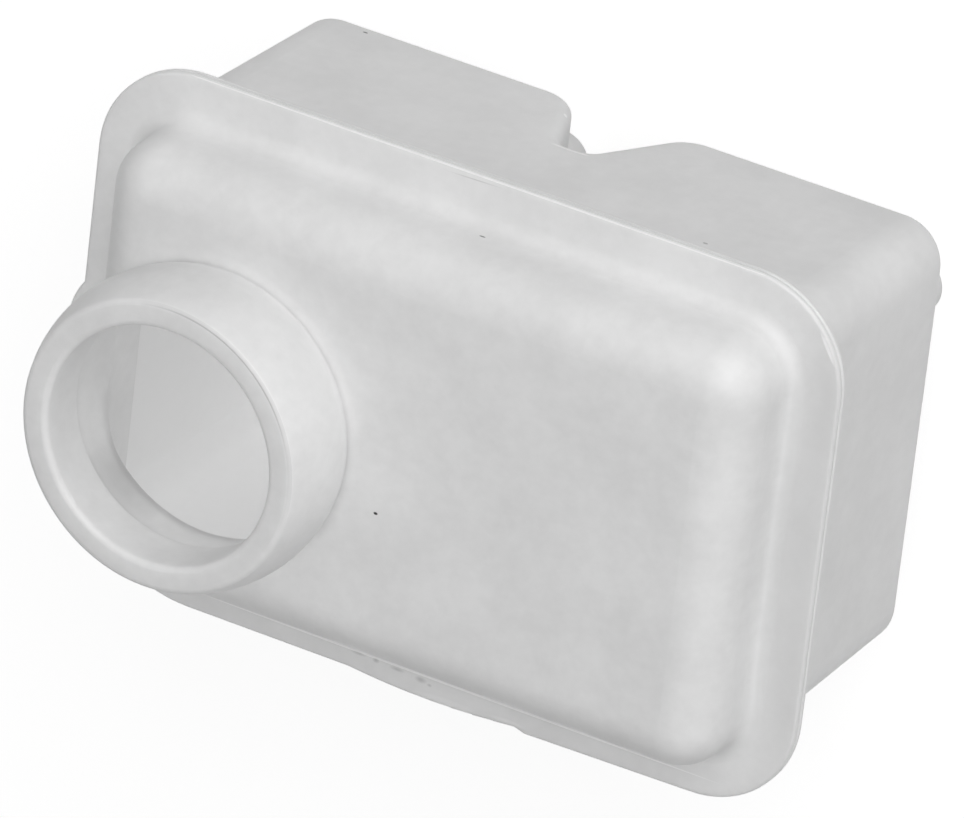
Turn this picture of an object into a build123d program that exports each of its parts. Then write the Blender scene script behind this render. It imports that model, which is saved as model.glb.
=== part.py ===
from build123d import *

import os
from math import radians, tan

# Brake fluid reservoir of two moulded halves, welded at a wide flange and trimmed.
# The frame: +Z out of the filler neck, +X along the tank, and the origin on the axis
# of the rear outlet, at the height where its grommet seals. Sizes are in millimetres.

# Outlets under the two chambers
outlet_pitch = 62.4
outlet_radius = 5.0
outlet_bore_radius = 3.0
outlet_length = 10.5
outlet_seal_depth = 5.0
outlet_tip_chamfer = 0.7
outlet_collar_radius = 6.8
outlet_collar_height = 1.6
outlet_collar_chamfer = 0.3
outlet_root_radius = 1.0

# Tank, measured outside at the weld
tank_length = 115.9
tank_width = 74.7
tank_corner_radius = 8.3
tank_centre_x = 15.15
tank_centre_y = -19.75
wall = 2.2

# Flange, welded from two leaves and trimmed by hand
flange_reach = 6.7
flange_shift_x = 1.6
flange_shift_y = 1.0
flange_corner_radius = 16.5
flange_neck_corner_radius = 24.0
flange_leaf = 1.1
flange_edge_radius = 0.5
seam_chamfer = 0.25
trim_bulge_start = -12.0
trim_bulge_end = 17.5
trim_bulge_height = 0.8
trim_step_end = 19.3
trim_step_height = 0.55
tab_radius = 11.6
tab_reach = 2.2
tab_offset_y = -2.9

# Lower shell with its two chambers
body_depth = 49.6
body_draft = 1.4
underside_radius = 2.0
notch_depth = 16.1
notch_floor_start = -2.7
notch_floor_length = 5.2
notch_rear_slope = 20.0
notch_front_slope = 28.0
notch_root_radius = 3.0
notch_shoulder_radius = 7.0

# Upper shell, set in from the flange's edge
cover_inset = 7.9
cover_height = 15.0
cover_draft = 2.0
cover_edge_radius = 8.0
cover_root_radius = 2.5

# Filler neck
neck_from_end = 26.7
neck_offset_y = -1.05
neck_height = 16.0
neck_rim_radius = 23.45
neck_belly_radius = 25.2
neck_belly_below_rim = 5.5
neck_foot_radius = 24.0
neck_bore_radius = 19.4
neck_bore_length = 9.0
neck_rim_edge_radius = 1.0
neck_lower_wall = 2.6

# Places worked out from the sizes
underside_height = outlet_seal_depth
tip_height = underside_height - outlet_length
collar_height = underside_height - outlet_collar_height
weld_height = underside_height + body_depth
rim_height = weld_height + cover_height + neck_height
flange_length = tank_length + 2 * flange_reach
flange_width = tank_width + 2 * flange_reach
cover_length = flange_length - 2 * cover_inset
cover_width = flange_width - 2 * cover_inset
cover_corner_radius = flange_corner_radius - cover_inset
neck_x = tank_centre_x - tank_length / 2 + neck_from_end
neck_y = tank_centre_y + neck_offset_y
weld_plane = Plane(origin=(tank_centre_x, tank_centre_y, weld_height))
flange_plane = Plane(origin=(tank_centre_x + flange_shift_x, tank_centre_y + flange_shift_y, weld_height))
side_plane = Plane(origin=weld_plane.origin, x_dir=(1, 0, 0), z_dir=(0, -1, 0))
neck_plane = Plane(origin=(neck_x, neck_y, rim_height), x_dir=(1, 0, 0), z_dir=(0, -1, 0))
neck_axis = Axis((neck_x, neck_y, 0), (0, 0, 1))


def flange_outline():
    """The trimmed outline of the weld flange, the same for both leaves."""
    edge_y = -flange_width / 2
    edge_x = -flange_length / 2
    with BuildSketch(flange_plane) as outline:
        Rectangle(flange_length, flange_width)
        fillet(outline.vertices().sort_by(Axis.X)[:2].sort_by(Axis.Y)[:1], flange_neck_corner_radius)
        fillet(outline.vertices().sort_by(Axis.X)[-2:], flange_corner_radius)
        fillet(outline.vertices().sort_by(Axis.X)[:2].sort_by(Axis.Y)[-1:], flange_corner_radius)
        with Locations((edge_x - tab_reach + tab_radius, tab_offset_y)):
            Circle(tab_radius)
        with BuildLine():
            ThreePointArc(
                (trim_bulge_start, edge_y),
                ((trim_bulge_start + trim_bulge_end) / 2, edge_y - trim_bulge_height),
                (trim_bulge_end, edge_y),
            )
            Polyline(
                (trim_bulge_end, edge_y),
                (trim_step_end, edge_y - trim_step_height),
                (flange_length / 2 - flange_corner_radius, edge_y),
                (0, 0),
                (trim_bulge_start, edge_y),
            )
        make_face()
    return outline.sketch


def side_profile(inset):
    """The tank's side outline with the notch between its chambers, drawn smaller by an inset."""
    floor_end = notch_floor_start + notch_floor_length
    rear_mouth = notch_floor_start - notch_depth * tan(radians(notch_rear_slope))
    front_mouth = floor_end + notch_depth * tan(radians(notch_front_slope))
    with BuildSketch(side_plane) as profile:
        with BuildLine():
            Polyline(
                (-tank_length, tank_length),
                (-tank_length, -body_depth),
                (rear_mouth, -body_depth),
                (notch_floor_start, notch_depth - body_depth),
                (floor_end, notch_depth - body_depth),
                (front_mouth, -body_depth),
                (tank_length, -body_depth),
                (tank_length, tank_length),
                close=True,
            )
        make_face()
        fillet(profile.vertices().sort_by(Axis.X)[2:-2].sort_by(Axis.Y)[-2:], notch_root_radius)
        fillet(profile.vertices().sort_by(Axis.X)[2:-2].sort_by(Axis.Y)[:2], notch_shoulder_radius)
        if inset:
            offset(amount=-inset, mode=Mode.REPLACE)
    return profile.sketch


with BuildPart() as body_cavity:
    with BuildSketch(weld_plane):
        RectangleRounded(tank_length - 2 * wall, tank_width - 2 * wall, tank_corner_radius - wall)
    extrude(amount=-body_depth, taper=body_draft)
    extrude(side_profile(wall), amount=tank_width, both=True, mode=Mode.INTERSECT)

with BuildPart() as lower_shell:
    with BuildSketch(weld_plane):
        RectangleRounded(tank_length, tank_width, tank_corner_radius)
    extrude(amount=-body_depth, taper=body_draft)
    extrude(side_profile(0), amount=tank_width, both=True, mode=Mode.INTERSECT)
    walls = lower_shell.faces().filter_by(lambda face: abs(face.normal_at().Z) < 0.2)
    underside = lower_shell.faces().filter_by(lambda face: face.normal_at().Z < -0.2)
    fillet(walls.edges() & underside.edges(), underside_radius)

    # Two outlet spigots, each on a collar with a rounded root
    with BuildSketch(Plane.XY.offset(collar_height)):
        with Locations((0, 0), (outlet_pitch, 0)):
            Circle(outlet_collar_radius)
    extrude(amount=outlet_collar_height + 2 * wall)
    collar_rims = lower_shell.edges().filter_by(GeomType.CIRCLE).group_by(Axis.Z)
    chamfer(collar_rims[0], outlet_collar_chamfer)
    collar_walls = lower_shell.faces().filter_by(GeomType.CYLINDER).sort_by(Axis.Z)[:2]
    roots = collar_walls.edges().filter_by_position(Axis.Z, underside_height - outlet_root_radius, weld_height)
    fillet(roots, outlet_root_radius)
    with BuildSketch(Plane.XY.offset(tip_height)):
        with Locations((0, 0), (outlet_pitch, 0)):
            Circle(outlet_radius)
    extrude(amount=outlet_length)
    spigot_rims = lower_shell.edges().filter_by(GeomType.CIRCLE).group_by(Axis.Z)
    chamfer(spigot_rims[0], outlet_tip_chamfer)

    # Lower leaf of the flange, rounded below and chamfered at the seam
    extrude(flange_outline(), amount=-flange_leaf)
    weld_face = lower_shell.faces().filter_by(Plane.XY).sort_by(Axis.Z)[-1]
    chamfer(weld_face.outer_wire().edges(), seam_chamfer)
    leaf = lower_shell.faces().filter_by(Plane.XY).sort_by(Axis.Z)[-2]
    fillet(leaf.outer_wire().edges(), flange_edge_radius)
    add(body_cavity.part, mode=Mode.SUBTRACT)
    with BuildSketch(Plane.XY.offset(tip_height)):
        with Locations((0, 0), (outlet_pitch, 0)):
            Circle(outlet_bore_radius)
    extrude(amount=outlet_length + 2 * wall, mode=Mode.SUBTRACT)
lower_shell.part.label = "lower_shell"

with BuildPart() as cover_cavity:
    with BuildSketch(flange_plane):
        RectangleRounded(cover_length - 2 * wall, cover_width - 2 * wall, cover_corner_radius - wall)
    extrude(amount=cover_height - wall, taper=cover_draft)
    fillet(cover_cavity.faces().sort_by(Axis.Z)[-1].edges(), cover_edge_radius - wall)
    lower_bore_radius = neck_foot_radius - neck_lower_wall
    bore_flare = lower_bore_radius - neck_bore_radius
    with BuildSketch(neck_plane):
        with BuildLine():
            Polyline(
                (0, 0),
                (neck_bore_radius, 0),
                (neck_bore_radius, -neck_bore_length),
                (lower_bore_radius, -neck_bore_length - bore_flare),
                (lower_bore_radius, weld_height - rim_height),
                (0, weld_height - rim_height),
                close=True,
            )
        make_face()
    revolve(axis=neck_axis)

with BuildPart() as upper_shell:
    with BuildSketch(flange_plane):
        RectangleRounded(cover_length, cover_width, cover_corner_radius)
    extrude(amount=cover_height, taper=cover_draft)
    fillet(upper_shell.faces().sort_by(Axis.Z)[-1].edges(), cover_edge_radius)

    # Upper leaf of the flange, chamfered at the seam and rounded above
    extrude(flange_outline(), amount=flange_leaf)
    weld_face = upper_shell.faces().filter_by(Plane.XY).sort_by(Axis.Z)[0]
    chamfer(weld_face.outer_wire().edges(), seam_chamfer)
    leaf = upper_shell.faces().filter_by(Plane.XY).sort_by(Axis.Z)[1]
    fillet(leaf.outer_wire().edges(), flange_edge_radius)
    fillet(leaf.inner_wires()[0].edges(), cover_root_radius)

    # Filler neck, swollen below its rim
    with BuildSketch(neck_plane):
        with BuildLine():
            ThreePointArc(
                (neck_rim_radius, 0),
                (neck_belly_radius, -neck_belly_below_rim),
                (neck_foot_radius, -neck_height),
            )
            Polyline(
                (neck_foot_radius, -neck_height),
                (neck_foot_radius, weld_height - rim_height),
                (0, weld_height - rim_height),
                (0, 0),
                (neck_rim_radius, 0),
            )
        make_face()
    revolve(axis=neck_axis)
    add(cover_cavity.part, mode=Mode.SUBTRACT)
    fillet(upper_shell.faces().sort_by(Axis.Z)[-1].edges(), neck_rim_edge_radius)
upper_shell.part.label = "upper_shell"

os.makedirs("parts", exist_ok=True)
export_step(lower_shell.part, "parts/lower_shell.step")
export_step(upper_shell.part, "parts/upper_shell.step")
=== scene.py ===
"""Brake fluid reservoir: two shells of natural polypropylene, welded at a trimmed flange."""

import logging
import math
from dataclasses import dataclass
from enum import Enum

import bmesh
import bpy
from mathutils import Matrix, Vector


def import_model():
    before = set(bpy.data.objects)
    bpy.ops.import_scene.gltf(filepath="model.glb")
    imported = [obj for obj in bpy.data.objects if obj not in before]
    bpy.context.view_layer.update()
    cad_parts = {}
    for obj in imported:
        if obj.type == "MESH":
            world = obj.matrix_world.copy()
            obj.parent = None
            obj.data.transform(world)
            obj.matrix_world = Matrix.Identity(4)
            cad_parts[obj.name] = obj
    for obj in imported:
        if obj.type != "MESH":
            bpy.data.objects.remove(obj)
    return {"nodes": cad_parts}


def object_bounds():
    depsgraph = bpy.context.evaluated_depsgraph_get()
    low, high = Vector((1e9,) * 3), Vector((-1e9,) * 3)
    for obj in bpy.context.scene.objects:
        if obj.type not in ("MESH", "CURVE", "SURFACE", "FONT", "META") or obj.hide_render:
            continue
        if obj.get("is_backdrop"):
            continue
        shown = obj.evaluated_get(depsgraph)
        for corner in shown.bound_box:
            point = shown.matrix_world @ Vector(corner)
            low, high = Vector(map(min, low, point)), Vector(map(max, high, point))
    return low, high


log = logging.getLogger("reservoir")

Triple = tuple[float, float, float]
Tree = bpy.types.NodeTree
Socket = bpy.types.NodeSocket

MM = 0.001
PHOTO_WIDTH_PX = 964
PHOTO_HEIGHT_PX = 818
WHITE = "#ffffff"
NECK_AXIS_MM = (-16.1, -20.8)
ENDLESS_MM = 1.0e6

# Sockets of a Mix node that mixes colours, whose names stand for other sockets too
MIX_SHARE = 0
MIX_BELOW = 6
MIX_ABOVE = 7
MIX_RESULT = 2


class Node(Enum):
    """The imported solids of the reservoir."""

    LOWER = "lower_shell"
    UPPER = "upper_shell"


def linear(hex_code: str) -> tuple[float, float, float, float]:
    """Turns an sRGB hex colour into linear RGBA.

    Args:
        hex_code: The colour as six hex digits after a hash sign.

    Returns:
        The colour's linear red, green and blue, and an alpha of 1.
    """
    digits = hex_code.lstrip("#")
    channels = [int(digits[i : i + 2], 16) / 255 for i in (0, 2, 4)]
    turned = [c / 12.92 if c <= 0.04045 else ((c + 0.055) / 1.055) ** 2.4 for c in channels]
    return (turned[0], turned[1], turned[2], 1.0)


def add_node(
    tree: Tree,
    kind: str,
    settings: dict[str | int, object] | None = None,
    links: dict[str | int, Socket] | None = None,
) -> bpy.types.Node:
    """Adds one node with its settings and its incoming links.

    Args:
        tree: The tree that the node is added to.
        kind: The node's type, such as ShaderNodeTexNoise.
        settings: Attribute names, or input names or numbers, to values.
        links: Input names or numbers to the output sockets that feed them.

    Returns:
        The new node.
    """
    node = tree.nodes.new(kind)
    for name, value in (settings or {}).items():
        if isinstance(name, str) and name in node.bl_rna.properties:
            setattr(node, name, value)
        else:
            node.inputs[name].default_value = value
    for name, socket in (links or {}).items():
        tree.links.new(socket, node.inputs[name])
    return node


def blank_material(name: str) -> bpy.types.Material:
    """Starts a node material that has no nodes yet.

    Args:
        name: The material's name.

    Returns:
        The empty material.
    """
    material = bpy.data.materials.new(name)
    material.use_nodes = True
    material.node_tree.nodes.clear()
    return material


@dataclass(frozen=True)
class Mark:
    """A place where the resin's tone differs: a speck, a scuff, a painted highlight or a painted
    shade.

    It fills an ellipsoid with the given half sizes, and its edge is as soft as its fade.
    """

    centre_mm: Triple
    half_mm: Triple
    tone: str
    strength: float = 0.8
    turn_deg: float = 0.0
    fade: float = 0.35

    def reach(self, tree: Tree, place: Socket) -> Socket:
        """Measures how far a point is from the mark's centre.

        Args:
            tree: The tree that the nodes are added to.
            place: The point, in Object coordinates.

        Returns:
            A socket that is 0 at the centre and 1 on the mark's outline.
        """
        local = add_node(
            tree,
            "ShaderNodeMapping",
            {
                "vector_type": "TEXTURE",
                "Location": [c * MM for c in self.centre_mm],
                "Rotation": (0.0, 0.0, math.radians(self.turn_deg)),
                "Scale": [h * MM for h in self.half_mm],
            },
            {"Vector": place},
        )
        away = add_node(
            tree,
            "ShaderNodeVectorMath",
            {"operation": "LENGTH"},
            {0: local.outputs["Vector"]},
        )
        return away.outputs["Value"]

    def cover(self, tree: Tree, place: Socket) -> Socket:
        """Works out how much of the mark's tone a point shows.

        Args:
            tree: The tree that the nodes are added to.
            place: The point, in Object coordinates.

        Returns:
            A socket from 0 outside the mark to its strength inside.
        """
        spread = add_node(
            tree,
            "ShaderNodeMapRange",
            {
                "From Min": 1.0 - self.fade,
                "From Max": 1.0,
                "To Min": self.strength,
                "To Max": 0.0,
            },
            {"Value": self.reach(tree, place)},
        )
        return spread.outputs["Result"]

    def paint(self, tree: Tree, place: Socket, below: Socket) -> Socket:
        """Lays the mark over the colour below it.

        Args:
            tree: The tree that the nodes are added to.
            place: The point, in Object coordinates.
            below: The colour that it covers.

        Returns:
            The colour with the mark.
        """
        mix = add_node(
            tree,
            "ShaderNodeMix",
            {"data_type": "RGBA", MIX_ABOVE: linear(self.tone)},
            {MIX_SHARE: self.cover(tree, place), MIX_BELOW: below},
        )
        return mix.outputs[MIX_RESULT]


@dataclass(frozen=True)
class ArcLine(Mark):
    """A thin line round the neck's axis, seen only inside the mark's own outline."""

    radius_mm: float = 23.1
    half_width_mm: float = 0.11

    def cover(self, tree: Tree, place: Socket) -> Socket:
        """Works out how much of the line's tone a point shows.

        Args:
            tree: The tree that the nodes are added to.
            place: The point, in Object coordinates.

        Returns:
            A socket from 0 beside the line to its strength on it.
        """
        column_mm = (self.radius_mm, self.radius_mm, ENDLESS_MM)
        column = Mark((*NECK_AXIS_MM, 0.0), column_mm, self.tone)
        line = add_node(
            tree,
            "ShaderNodeMath",
            {"operation": "COMPARE", 1: 1.0, 2: self.half_width_mm / self.radius_mm},
            {0: column.reach(tree, place)},
        )
        part = add_node(
            tree,
            "ShaderNodeMath",
            {"operation": "MULTIPLY"},
            {0: line.outputs["Value"], 1: super().cover(tree, place)},
        )
        return part.outputs["Value"]


@dataclass(frozen=True)
class Chamber(Mark):
    """A part of the hollow with upright rounded corners, painted paler inside as painted light.

    Its edge is sharp, because it lies within the walls.
    """

    corner_mm: float = 7.2
    floor_mm: float = 6.1

    def cover(self, tree: Tree, place: Socket) -> Socket:
        """Works out how much of the chamber's tone a point shows.

        Args:
            tree: The tree that the nodes are added to.
            place: The point, in Object coordinates.

        Returns:
            A socket that is 0 outside the chamber and its strength inside.
        """
        nothing = (0.0, 0.0, 0.0)
        past_core = place
        for operation, operand in (
            ("SUBTRACT", [c * MM for c in self.centre_mm]),
            ("ABSOLUTE", nothing),
            ("SUBTRACT", [(h - self.corner_mm) * MM for h in self.half_mm]),
            ("MAXIMUM", nothing),
        ):
            past_core = add_node(
                tree,
                "ShaderNodeVectorMath",
                {"operation": operation, 1: operand},
                {0: past_core},
            ).outputs["Vector"]
        away = add_node(tree, "ShaderNodeVectorMath", {"operation": "LENGTH"}, {0: past_core})
        inside = add_node(
            tree,
            "ShaderNodeMath",
            {"operation": "LESS_THAN", 1: self.corner_mm * MM},
            {0: away.outputs["Value"]},
        )
        height = add_node(tree, "ShaderNodeSeparateXYZ", links={"Vector": place})
        above = add_node(
            tree,
            "ShaderNodeMath",
            {"operation": "GREATER_THAN", 1: self.floor_mm * MM},
            {0: height.outputs["Z"]},
        )
        both = add_node(
            tree,
            "ShaderNodeMath",
            {"operation": "MULTIPLY"},
            {0: inside.outputs["Value"], 1: above.outputs["Value"]},
        )
        share = add_node(
            tree,
            "ShaderNodeMath",
            {"operation": "MULTIPLY", 1: self.strength},
            {0: both.outputs["Value"]},
        )
        return share.outputs["Value"]


# Specks and scuffs of the cover, with painted highlights and painted shade among them
UPPER_MARKS_AND_PAINTED_LIGHT = (
    # Painted shade round the rim's edge that dims its highlight, and a thin dark line there
    ArcLine(
        (-2.0, -6.0, 85.0),
        (24.0, 24.0, 4.0),
        "#cccccc",
        strength=0.45,
        radius_mm=23.3,
        half_width_mm=0.3,
    ),
    ArcLine((-4.0, -1.0, 85.6), (17.5, 16.0, 3.0), "#8c8c8c", strength=0.4, fade=0.5),
    # Shade inside the neck, below its bore
    Mark((-31.0, -38.0, 70.5), (9.0, 8.0, 6.0), "#a8a8a8", strength=0.4, fade=0.7),
    # Painted highlight: a bright line along the flange, below the root of the cover
    Mark((24.0, -59.58, 55.7), (47.0, 0.24, 0.6), WHITE, strength=1.0, fade=0.2),
    # Painted highlight on the edge of the flange on the outlets' side
    Mark((16.0, 25.12, 55.58), (66.0, 0.16, 0.2), WHITE, strength=1.0),
    # Painted shade on the flange beyond the cover's end, greyer as the photograph shows it
    Mark((81.0, -18.0, 55.7), (11.0, 52.0, 1.4), "#c6c6c6", strength=0.5, fade=0.5),
    # Bright marks on the trimmed flange: a painted highlight on a thin line near its corner,
    # then two scuffs
    Mark((78.35, 17.0, 55.7), (3.0, 0.34, 0.8), WHITE, strength=1.0, turn_deg=-58.0, fade=0.6),
    Mark((22.0, -62.9, 55.5), (6.5, 0.9, 1.0), WHITE, strength=0.8, turn_deg=2.0, fade=0.8),
    Mark((33.0, -62.2, 55.5), (3.5, 0.5, 1.0), WHITE, strength=0.8, fade=0.8),
    # Dark scuffs on the trimmed flange
    Mark((6.5, -59.9, 55.7), (1.6, 0.35, 0.6), "#a0a0a0", strength=0.4, fade=0.8),
    Mark((9.6, -60.0, 55.7), (0.7, 0.5, 0.6), "#909090", strength=0.45, fade=0.8),
    Mark((13.4, -60.2, 55.7), (1.5, 0.4, 0.6), "#989898", strength=0.45, fade=0.8),
    Mark((17.6, -60.5, 55.7), (1.2, 0.6, 0.6), "#909090", strength=0.45, fade=0.8),
    Mark((19.2, -60.9, 55.7), (0.5, 0.3, 0.6), "#909090", strength=0.4, fade=0.8),
    Mark((17.0, 24.3, 55.7), (5.0, 0.14, 0.6), "#a8a8a8", strength=0.45, turn_deg=1.5, fade=0.8),
    # Specks on the cover
    Mark((13.85, -27.74, 69.6), (0.42, 0.26, 0.5), "#1c1c1c", strength=1.0),
    Mark((20.76, 17.25, 58.8), (0.6, 0.5, 0.22), "#4a4a4a"),
)

# Specks of the tank, with painted light, painted highlights and painted shade among them
LOWER_MARKS_AND_PAINTED_LIGHT = (
    # Painted light in the hollow above the rear outlet, written paler because the light alone
    # leaves it too dark
    Chamber((-18.7, -19.75, 30.4), (22.4, 35.65, 60.0), WHITE, strength=0.66),
    # Shade along the seam under the flange's bright edge
    Mark((16.0, 25.2, 54.45), (66.0, 0.35, 0.25), "#c0c0c0", strength=0.6),
    # Painted highlights: a bright line and spot on the notch's edge
    Mark((15.4, 16.85, 22.75), (3.6, 0.6, 0.5), WHITE, strength=1.0, fade=0.4),
    Mark((8.2, 16.1, 11.4), (0.45, 0.45, 0.45), WHITE, strength=1.0),
    # Specks on the tank
    Mark((-29.6, 16.5, 7.9), (0.5, 0.4, 0.25), "#3c3c3c"),
    Mark((47.3, 17.2, 37.5), (0.5, 0.4, 0.3), "#8a8a8a", strength=0.6),
)


@dataclass(frozen=True)
class NaturalPolypropylene:
    """Natural polypropylene, injection moulded: milky, a little translucent and satin.

    Light enters it and comes out a few millimetres away, so edges and thin walls glow softly.
    Lamp light also passes the first clear_surfaces that it meets undimmed. Each one after them
    dims it, so that the floor keeps a shadow.
    """

    name: str
    # Specks, scuffs and lines in the resin, with painted highlights and painted shade among them
    marks_and_painted_light: tuple[Mark, ...]
    pale: str = "#ebebeb"
    dull: str = "#e3e3e3"
    dull_below: float = 0.36
    pale_above: float = 0.64
    cloud_mm: float = 14.0
    cloud_detail: float = 3.0
    cloud_roughness: float = 0.55
    cloud_height_mm: float = 0.12
    cloud_relief: float = 0.25
    mottle_mm: float = 2.2
    mottle_detail: float = 2.0
    mottle_roughness: float = 0.6
    mottle_share: float = 0.35
    mottle_low: float = 0.3
    mottle_high: float = 0.7
    grain_mm: float = 0.35
    grain_detail: float = 2.0
    grain_height_mm: float = 0.03
    grain_relief: float = 0.12
    roughness: float = 0.44
    roughness_spread: float = 0.05
    ior: float = 1.49
    scatter_share: float = 1.0
    scatter_mm: float = 2.5
    scatter_balance: Triple = (1.0, 1.0, 1.0)
    foot_height_mm: float = 69.6
    foot_half_mm: Triple = (32.0, 32.0, 9.0)
    foot_fade: float = 0.2
    foot_blend_mm: float = 3.2
    foot_samples: int = 6
    clear_surfaces: int = 2
    passed: str = WHITE
    passed_deep: str = "#d6d6d6"

    def make(self) -> bpy.types.Material:
        """Builds the material.

        Returns:
            The finished node material.
        """
        material = blank_material(self.name)
        tree = material.node_tree
        place = add_node(tree, "ShaderNodeTexCoord").outputs["Object"]
        cloud = add_node(
            tree,
            "ShaderNodeTexNoise",
            {
                "Scale": 1 / (self.cloud_mm * MM),
                "Detail": self.cloud_detail,
                "Roughness": self.cloud_roughness,
            },
            {"Vector": place},
        ).outputs["Fac"]
        mottle = add_node(
            tree,
            "ShaderNodeTexNoise",
            {
                "Scale": 1 / (self.mottle_mm * MM),
                "Detail": self.mottle_detail,
                "Roughness": self.mottle_roughness,
            },
            {"Vector": place},
        ).outputs["Fac"]
        colour = self.clouded(tree, cloud, mottle)
        for mark in self.marks_and_painted_light:
            colour = mark.paint(tree, place, colour)
        gloss = add_node(
            tree,
            "ShaderNodeMapRange",
            {
                "From Min": self.mottle_low,
                "From Max": self.mottle_high,
                "To Min": self.roughness - self.roughness_spread,
                "To Max": self.roughness + self.roughness_spread,
            },
            {"Value": mottle},
        )
        normal = self.moulded(tree, place, cloud)
        resin = add_node(
            tree,
            "ShaderNodeBsdfPrincipled",
            {
                "IOR": self.ior,
                "Subsurface Weight": self.scatter_share,
                "Subsurface Radius": self.scatter_balance,
                "Subsurface Scale": self.scatter_mm * MM,
            },
            {"Base Color": colour, "Roughness": gloss.outputs["Result"], "Normal": normal},
        )
        walls = self.lit_through(tree, resin.outputs["BSDF"])
        add_node(tree, "ShaderNodeOutputMaterial", links={"Surface": walls})
        return material

    def clouded(self, tree: Tree, cloud: Socket, mottle: Socket) -> Socket:
        """Colours the flow clouding of the melt, over a finer mottle.

        Args:
            tree: The tree that the nodes are added to.
            cloud: The noise of the clouding.
            mottle: The noise of the mottle.

        Returns:
            The resin's colour.
        """
        both = add_node(
            tree,
            "ShaderNodeMix",
            {"data_type": "FLOAT", "Factor": self.mottle_share},
            {"A": cloud, "B": mottle},
        )
        tint = add_node(tree, "ShaderNodeValToRGB", links={"Fac": both.outputs["Result"]})
        dull, pale = tint.color_ramp.elements
        dull.position = self.dull_below
        dull.color = linear(self.dull)
        pale.position = self.pale_above
        pale.color = linear(self.pale)
        return tint.outputs["Color"]

    def moulded(self, tree: Tree, place: Socket, cloud: Socket) -> Socket:
        """Shapes the shading: a soft blend at the neck's foot, the mould's grain and a swell.

        Args:
            tree: The tree that the nodes are added to.
            place: The point, in Object coordinates.
            cloud: The noise of the clouding, which the swell follows.

        Returns:
            The normal that the shader takes.
        """
        foot = Mark(
            (*NECK_AXIS_MM, self.foot_height_mm),
            self.foot_half_mm,
            self.pale,
            strength=self.foot_blend_mm * MM,
            fade=self.foot_fade,
        )
        softened = add_node(
            tree,
            "ShaderNodeBevel",
            {"samples": self.foot_samples},
            {"Radius": foot.cover(tree, place)},
        )
        grain = add_node(
            tree,
            "ShaderNodeTexNoise",
            {"Scale": 1 / (self.grain_mm * MM), "Detail": self.grain_detail},
            {"Vector": place},
        )
        relief = add_node(
            tree,
            "ShaderNodeBump",
            {"Strength": self.grain_relief, "Distance": self.grain_height_mm * MM},
            {"Height": grain.outputs["Fac"], "Normal": softened.outputs["Normal"]},
        )
        swell = add_node(
            tree,
            "ShaderNodeBump",
            {"Strength": self.cloud_relief, "Distance": self.cloud_height_mm * MM},
            {"Height": cloud, "Normal": relief.outputs["Normal"]},
        )
        return swell.outputs["Normal"]

    def lit_through(self, tree: Tree, resin: Socket) -> Socket:
        """Lets lamp light through the milky walls, so that the hollow inside is lit.

        Args:
            tree: The tree that the nodes are added to.
            resin: The shader of the resin itself.

        Returns:
            The shader that the surface takes.
        """
        path = add_node(tree, "ShaderNodeLightPath")
        deep = add_node(
            tree,
            "ShaderNodeMath",
            {"operation": "GREATER_THAN", 1: self.clear_surfaces - 0.5},
            {0: path.outputs["Transparent Depth"]},
        )
        light = add_node(
            tree,
            "ShaderNodeMix",
            {
                "data_type": "RGBA",
                MIX_BELOW: linear(self.passed),
                MIX_ABOVE: linear(self.passed_deep),
            },
            {MIX_SHARE: deep.outputs["Value"]},
        )
        passed = add_node(
            tree,
            "ShaderNodeBsdfTransparent",
            links={"Color": light.outputs[MIX_RESULT]},
        )
        walls = add_node(
            tree,
            "ShaderNodeMixShader",
            links={"Fac": path.outputs["Is Shadow Ray"], 1: resin, 2: passed.outputs["BSDF"]},
        )
        return walls.outputs["Shader"]


@dataclass
class Shell:
    """One moulded half of the reservoir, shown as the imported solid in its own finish."""

    node: Node
    solid: bpy.types.Object
    finish: bpy.types.Material

    def dress(self) -> bpy.types.Object:
        """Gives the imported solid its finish.

        Returns:
            The dressed solid.
        """
        self.solid.data.materials.clear()
        self.solid.data.materials.append(self.finish)
        log.info("%s dressed in %s", self.node.value, self.finish.name)
        return self.solid


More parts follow.
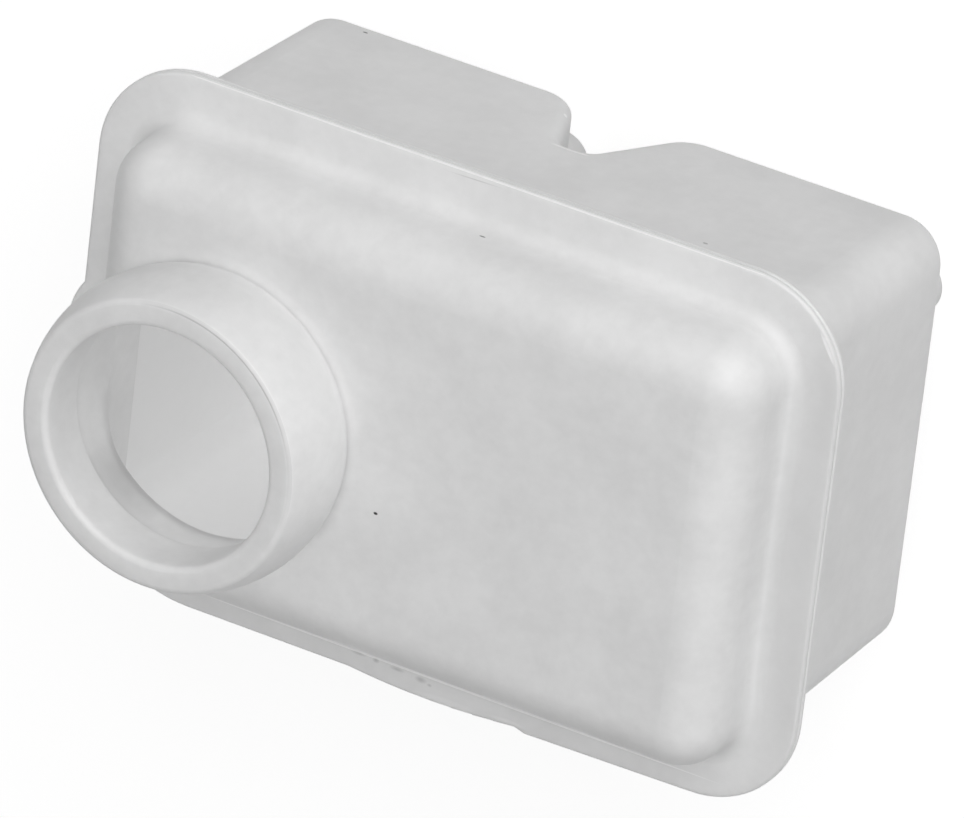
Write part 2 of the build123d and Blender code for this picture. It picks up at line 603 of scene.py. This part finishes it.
@dataclass
class Viewpoint:
    """The camera at the photograph's viewing angle."""

    target_mm: Triple = (16.6, -18.7, 54.6)
    azimuth_deg: float = 47.7
    elevation_deg: float = 52.8
    roll_deg: float = -124.4
    distance_mm: float = 2114.8
    focal_px: float = 14000.0
    target_px: tuple[float, float] = (447.4, 431.7)
    sensor_mm: float = 36.0
    nearest_m: float = 0.1
    farthest_m: float = 20.0

    def axes(self) -> tuple[Vector, Vector, Vector]:
        """Works out the camera's own axes.

        Returns:
            The directions to the picture's right, to its top and back towards the eye.
        """
        azimuth = math.radians(self.azimuth_deg)
        elevation = math.radians(self.elevation_deg)
        roll = math.radians(self.roll_deg)
        back = Vector(
            (
                math.cos(elevation) * math.cos(azimuth),
                math.cos(elevation) * math.sin(azimuth),
                math.sin(elevation),
            )
        )
        level = Vector((-math.sin(azimuth), math.cos(azimuth), 0.0))
        upright = back.cross(level)
        right = level * math.cos(roll) + upright * math.sin(roll)
        top = upright * math.cos(roll) - level * math.sin(roll)
        return right, top, back

    def build(self) -> bpy.types.Object:
        """Places the camera and makes it the scene's own.

        Returns:
            The camera.
        """
        right, top, back = self.axes()
        scale = self.focal_px / self.distance_mm
        aim = Vector(self.target_mm)
        aim += right * (PHOTO_WIDTH_PX / 2 - self.target_px[0]) / scale
        aim += top * (self.target_px[1] - PHOTO_HEIGHT_PX / 2) / scale
        lens = bpy.data.cameras.new("viewpoint")
        lens.sensor_width = self.sensor_mm
        lens.lens = self.focal_px * self.sensor_mm / PHOTO_WIDTH_PX
        lens.clip_start = self.nearest_m
        lens.clip_end = self.farthest_m
        camera = bpy.data.objects.new("viewpoint", lens)
        turn = Matrix((right, top, back)).transposed().to_4x4()
        camera.matrix_world = Matrix.Translation((aim + back * self.distance_mm) * MM) @ turn
        bpy.context.scene.collection.objects.link(camera)
        bpy.context.scene.camera = camera
        log.info("camera placed with a lens of %.0f mm", lens.lens)
        return camera


@dataclass
class Softbox:
    """One square studio lamp that faces the reservoir."""

    name: str
    towards: Triple
    watts: float
    side_m: float = 0.8
    away_m: float = 1.2

    def build(self, centre: Vector) -> bpy.types.Object:
        """Hangs the lamp.

        Args:
            centre: The point that it faces.

        Returns:
            The lamp.
        """
        light = bpy.data.lights.new(self.name, "AREA")
        light.shape = "SQUARE"
        light.size = self.side_m
        light.energy = self.watts
        lamp = bpy.data.objects.new(self.name, light)
        direction = Vector(self.towards).normalized()
        lamp.location = centre + direction * self.away_m
        lamp.rotation_euler = direction.to_track_quat("Z", "Y").to_euler()
        bpy.context.scene.collection.objects.link(lamp)
        return lamp


@dataclass
class Studio:
    """A plain pale floor, an even sky and a few soft lamps."""

    centre: Vector
    floor_height: float
    floor_side_m: float = 6.0
    floor_colour: str = "#bcbcbc"
    floor_lift: float = 0.7
    sky_strength: float = 0.34
    white_strength: float = 1.0

    def floor(self) -> bpy.types.Object:
        """Lays the floor under the reservoir.

        Returns:
            The floor.
        """
        middle = (self.centre.x, self.centre.y, self.floor_height)
        shape = bmesh.new()
        bmesh.ops.create_grid(shape, x_segments=1, y_segments=1, size=self.floor_side_m / 2)
        bmesh.ops.translate(shape, verts=shape.verts, vec=middle)
        mesh = bpy.data.meshes.new("floor")
        shape.to_mesh(mesh)
        shape.free()
        floor = bpy.data.objects.new("floor", mesh)
        bpy.context.scene.collection.objects.link(floor)
        mesh.materials.append(self.floor_finish())
        floor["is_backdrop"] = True
        return floor

    def floor_finish(self) -> bpy.types.Material:
        """Builds matt white paper, lifted to white where it is seen and dimmed only by shadow.

        Returns:
            The floor's material.
        """
        material = blank_material("paper_white_matt")
        tree = material.node_tree
        seen = self.seen_rays(tree)
        matt = add_node(tree, "ShaderNodeBsdfDiffuse", {"Color": linear(self.floor_colour)})
        glow = add_node(tree, "ShaderNodeEmission", {"Strength": self.floor_lift})
        lifted = add_node(
            tree,
            "ShaderNodeAddShader",
            links={0: matt.outputs["BSDF"], 1: glow.outputs["Emission"]},
        )
        chosen = add_node(
            tree,
            "ShaderNodeMixShader",
            links={"Fac": seen, 1: matt.outputs["BSDF"], 2: lifted.outputs["Shader"]},
        )
        add_node(tree, "ShaderNodeOutputMaterial", links={"Surface": chosen.outputs["Shader"]})
        return material

    def seen_rays(self, tree: Tree) -> Socket:
        """Marks the rays that show the background: the camera's, and those of gloss and glass.

        Args:
            tree: The tree that the nodes are added to.

        Returns:
            A socket that is 1 for such a ray and 0 for the others.
        """
        path = add_node(tree, "ShaderNodeLightPath")
        seen = path.outputs["Is Camera Ray"]
        for other in ("Is Glossy Ray", "Is Transmission Ray"):
            seen = add_node(
                tree,
                "ShaderNodeMath",
                {"operation": "MAXIMUM"},
                {0: seen, 1: path.outputs[other]},
            ).outputs["Value"]
        return seen

    def sky(self) -> None:
        """Sets an even pale sky that is plain white where it is seen."""
        world = bpy.data.worlds.new("sky")
        world.use_nodes = True
        tree = world.node_tree
        tree.nodes.clear()
        seen = self.seen_rays(tree)
        lit = add_node(
            tree,
            "ShaderNodeBackground",
            {"Strength": self.sky_strength, "Color": linear(WHITE)},
        )
        white = add_node(
            tree,
            "ShaderNodeBackground",
            {"Strength": self.white_strength, "Color": linear(WHITE)},
        )
        chosen = add_node(
            tree,
            "ShaderNodeMixShader",
            links={"Fac": seen, 1: lit.outputs["Background"], 2: white.outputs["Background"]},
        )
        add_node(tree, "ShaderNodeOutputWorld", links={"Surface": chosen.outputs["Shader"]})
        bpy.context.scene.world = world

    def build(self) -> None:
        """Sets up floor, sky and lamps."""
        self.floor()
        self.sky()
        for lamp in (
            Softbox("key_lamp", towards=(0.4, 0.9, 0.6), watts=3.9),
            Softbox("front_lamp", towards=(0.41, 0.45, 0.8), watts=3.7),
            Softbox("corner_lamp", towards=(0.8, 0.8, 0.5), watts=1.2),
            Softbox("side_lamp", towards=(1.0, 0.1, 0.25), watts=1.5),
        ):
            lamp.build(self.centre)
        bpy.context.scene.view_settings.view_transform = "Standard"
        log.info("studio set up")


def main() -> None:
    """Builds the dressed reservoir and its studio."""
    logging.basicConfig(level=logging.INFO, format="%(message)s")
    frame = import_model()
    cad_low, cad_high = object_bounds()
    Viewpoint().build()
    resins = {
        Node.LOWER: NaturalPolypropylene("polypropylene_natural_moulded_tank", LOWER_MARKS_AND_PAINTED_LIGHT),
        Node.UPPER: NaturalPolypropylene("polypropylene_natural_moulded_cover", UPPER_MARKS_AND_PAINTED_LIGHT),
    }
    for node in Node:
        Shell(node, frame["nodes"][node.value], resins[node].make()).dress()
    Studio(centre=(cad_low + cad_high) / 2, floor_height=cad_low.z).build()


if __name__ == "__main__":
    main()
